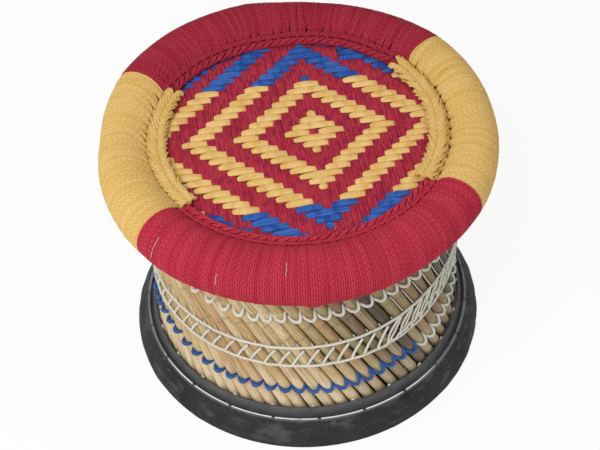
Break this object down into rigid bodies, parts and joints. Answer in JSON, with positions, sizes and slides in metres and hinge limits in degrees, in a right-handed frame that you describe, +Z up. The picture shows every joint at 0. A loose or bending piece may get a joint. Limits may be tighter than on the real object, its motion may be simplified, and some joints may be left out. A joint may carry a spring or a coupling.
{
  "type": "mudda stool",
  "caption": "Low round reed stool with a yarn-wrapped rim, a woven diamond-pattern seat and a tyre ring as its foot.",
  "frame": {"origin": "centre of the stool on the surface that it stands on", "axes": "+Z up along the stool's axis, -Y towards the front of the picture"},
  "size_m": [0.42, 0.42, 0.304],
  "materials": {
    "tyre_rubber": "worn matte rubber with faint tread marks",
    "dry_grass": "bundled dry grass",
    "reed": "dry straw-coloured reed with pink and brown streaks, slight sheen",
    "bamboo": "split bamboo, smooth side out",
    "white_cord": "twisted off-white cord",
    "blue_cord": "twisted blue cord",
    "red_yarn": "matte twisted cotton yarn, close wound or woven",
    "yellow_yarn": "matte twisted cotton yarn, close wound or woven",
    "blue_yarn": "matte twisted cotton yarn, woven"
  },
  "bodies": {
    "root": {"tyre_ring": "tyre_rubber", "foot_roll": "dry_grass", "base_lacing": "white_cord", "outer_reeds_01": "reed", "inner_reeds_01": "reed", "outer_reeds_02": "reed", "inner_reeds_02": "reed", "outer_reeds_03": "reed", "inner_reeds_03": "reed", "outer_reeds_04": "reed", "inner_reeds_04": "reed", "outer_reeds_05": "reed", "inner_reeds_05": "reed", "outer_reeds_06": "reed", "inner_reeds_06": "reed", "outer_reeds_07": "reed", "inner_reeds_07": "reed", "outer_reeds_08": "reed", "inner_reeds_08": "reed", "outer_reeds_09": "reed", "inner_reeds_09": "reed", "outer_reeds_10": "reed", "inner_reeds_10": "reed", "outer_reeds_11": "reed", "inner_reeds_11": "reed", "outer_reeds_12": "reed", "inner_reeds_12": "reed", "outer_reeds_13": "reed", "inner_reeds_13": "reed", "outer_reeds_14": "reed", "inner_reeds_14": "reed", "lower_inner_hoop": "bamboo", "upper_inner_hoop": "bamboo", "lower_hoop_cord": "white_cord", "upper_hoop_cord": "white_cord", "ladder_lashing": "white_cord", "top_scallop_cord": "white_cord", "blue_scallop_cord": "blue_cord", "white_scallop_cord": "white_cord", "rim_core": "dry_grass", "front_red_wrap": "red_yarn", "right_yellow_wrap": "yellow_yarn", "back_red_wrap": "red_yarn", "left_yellow_wrap": "yellow_yarn", "front_red_braid": "red_yarn", "right_yellow_braid": "yellow_yarn", "back_red_braid": "red_yarn", "left_yellow_braid": "yellow_yarn", "seat_hoop": "bamboo", "seat_warp": "red_yarn", "back_blue_weft": "blue_yarn", "yellow_weft": "yellow_yarn", "front_blue_weft": "blue_yarn"}
  },
  "joints": []
}
